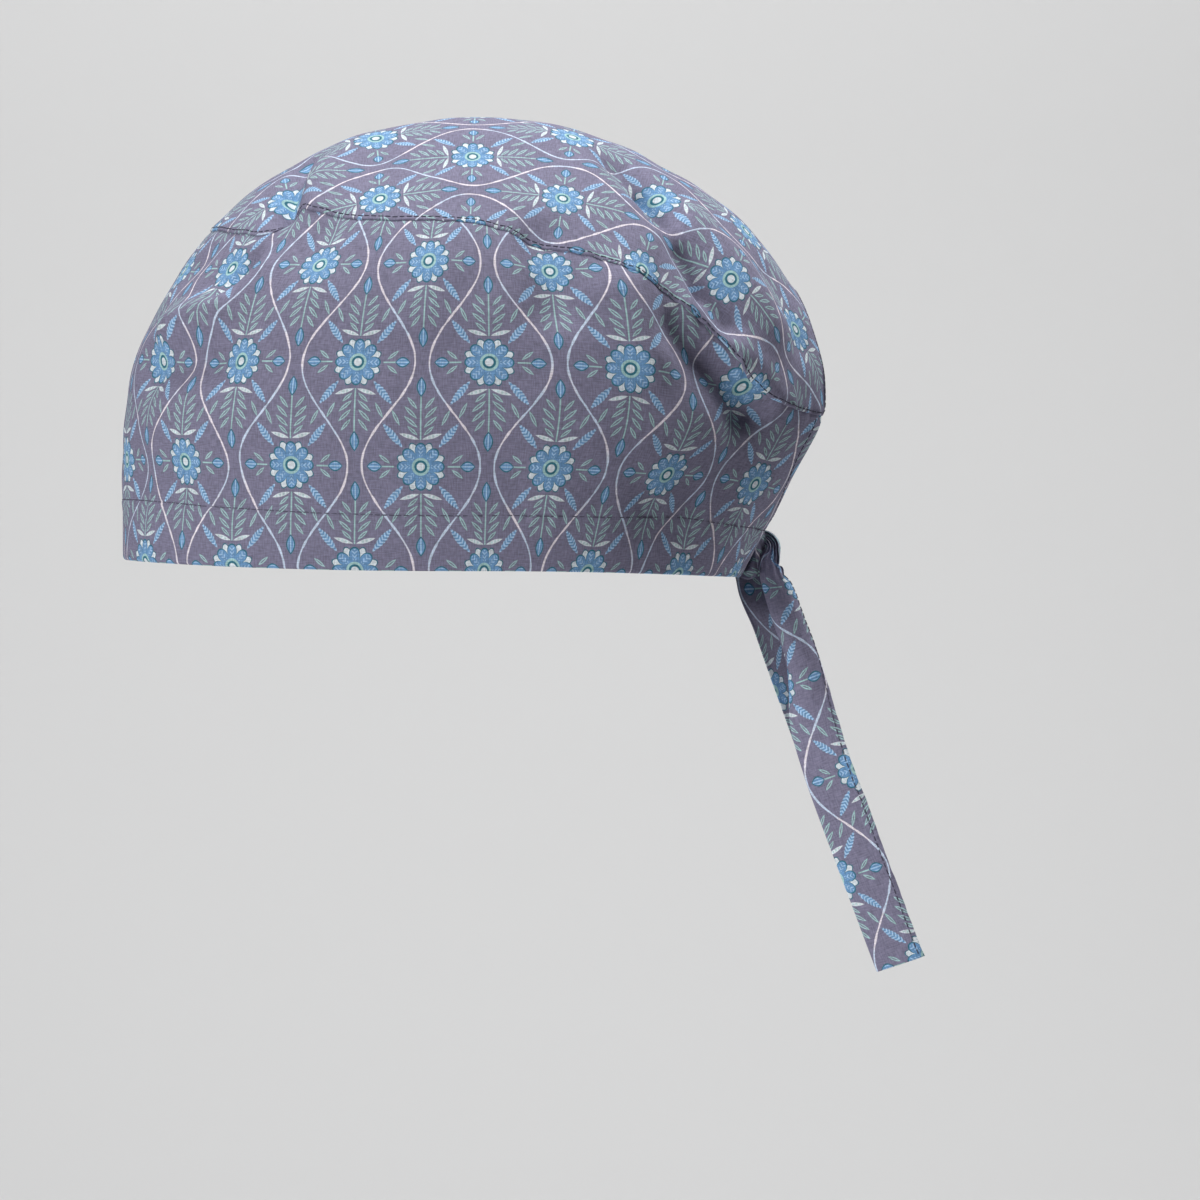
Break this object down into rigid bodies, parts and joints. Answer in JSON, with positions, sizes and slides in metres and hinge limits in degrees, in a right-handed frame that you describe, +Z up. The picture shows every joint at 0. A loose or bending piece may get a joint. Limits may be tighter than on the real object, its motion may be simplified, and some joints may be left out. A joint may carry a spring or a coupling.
{
  "type": "scrub cap",
  "caption": "Tie-back surgical scrub cap of printed cotton: crown, wrap-round band with a deep hem, keyhole at the back, and two ties in a half knot.",
  "frame": {"origin": "middle of the rim's opening, level with the rim over the ears, where the cap sits on a head", "axes": "+X towards the back of the head, +Y towards the wearer's right, +Z up to the top of the head"},
  "size_m": [0.2497, 0.1642, 0.2646],
  "materials": {
    "crown_cotton": "matt printed cotton, blue flowers and green sprigs in a pale lattice on grey mauve",
    "band_cotton": "matt printed cotton, the same print",
    "tie_cotton": "matt printed cotton, folded and topstitched"
  },
  "bodies": {
    "root": {"crown": "crown_cotton", "side_band": "band_cotton", "tie_left": "tie_cotton", "tie_right": "tie_cotton"}
  },
  "joints": []
}
